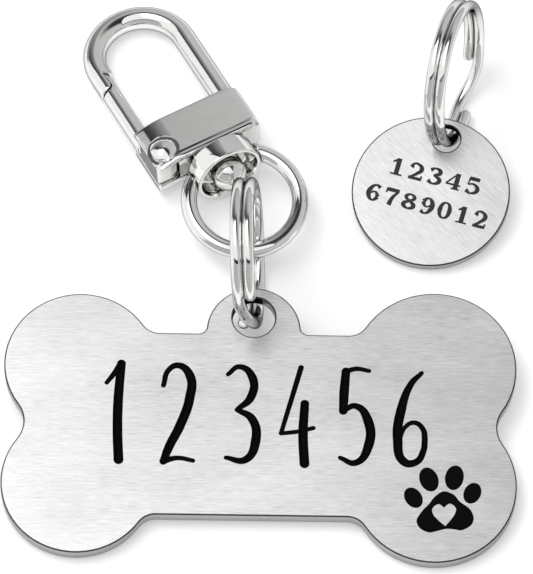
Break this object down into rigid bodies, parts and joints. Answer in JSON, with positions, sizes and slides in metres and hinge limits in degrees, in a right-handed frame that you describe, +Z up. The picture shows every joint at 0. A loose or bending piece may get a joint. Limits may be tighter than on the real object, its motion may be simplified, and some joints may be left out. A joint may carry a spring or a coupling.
{
  "type": "pet id tag set",
  "caption": "bone-shaped steel pet tag with a paw mark, hung by a split ring from a swivel snap hook, and a small round tag on its own split ring",
  "frame": {"origin": "middle of the set's outline from left to right and front to back, on the table", "axes": "+Z up from the table, +Y from the bone's lower edge toward the snap hook, +X to the bone's right as its mark is read"},
  "size_m": [0.05, 0.0615, 0.015],
  "materials": {
    "brushed_tag_steel": "brushed",
    "ring_steel": "polished",
    "nickel": "polished",
    "black_enamel": "satin"
  },
  "bodies": {
    "bone": {"bone_tag": "brushed_tag_steel", "paw_pad_enamel": "black_enamel", "toe_enamel_1": "black_enamel", "toe_enamel_2": "black_enamel", "toe_enamel_3": "black_enamel", "toe_enamel_4": "black_enamel"},
    "bone_ring": {"bone_split_ring": "ring_steel"},
    "bail": {"bail_ring": "nickel"},
    "cup": {"swivel_cup": "nickel"},
    "hook": {"hook_body": "nickel", "swivel_post": "nickel", "gate_rivet": "nickel", "gate_spring": "ring_steel"},
    "gate": {"gate": "nickel"},
    "round_tag": {"disc_tag": "brushed_tag_steel"},
    "round_ring": {"disc_split_ring": "ring_steel"}
  },
  "joints": [
    {"name": "bone_ring_swing", "type": "hinge", "parent": "bone", "child": "bone_ring", "pos_m": [-0.001, -0.00536, 0.00262], "axis": [1, 0, 0], "range_deg": [-80, 0]},
    {"name": "bail_slide_round", "type": "hinge", "parent": "bone_ring", "child": "bail", "pos_m": [-0.00141, -0.00053, 0.00749], "axis": [0.9965, 0, 0.0837], "range_deg": [-10, 120]},
    {"name": "bail_pivot", "type": "hinge", "parent": "bail", "child": "cup", "pos_m": [-0.00381, 0.01122, 0.00362], "axis": [0.8746, 0.4848, 0], "range_deg": [-60, 60]},
    {"name": "hook_swivel", "type": "hinge", "parent": "cup", "child": "hook", "pos_m": [-0.00328, 0.01026, 0.00375], "axis": [0.4814, -0.8685, 0.118], "continuous": true},
    {"name": "gate_pivot", "type": "hinge", "parent": "hook", "child": "gate", "pos_m": [-0.00979, 0.01202, 0.00319], "axis": [0.0572, -0.1032, -0.993], "range_deg": [0, 25], "stiffness_Nm_per_rad": 0.005, "springref_deg": -17.19},
    {"name": "round_tag_lift", "type": "slide", "parent": "bone", "child": "round_tag", "axis": [0, 0, 1], "range_m": [0, 0.03]},
    {"name": "round_ring_swing", "type": "hinge", "parent": "round_tag", "child": "round_ring", "pos_m": [0.01819, 0.01506, 0.00279], "axis": [0.9636, -0.2672, 0], "range_deg": [-60, 0]}
  ]
}
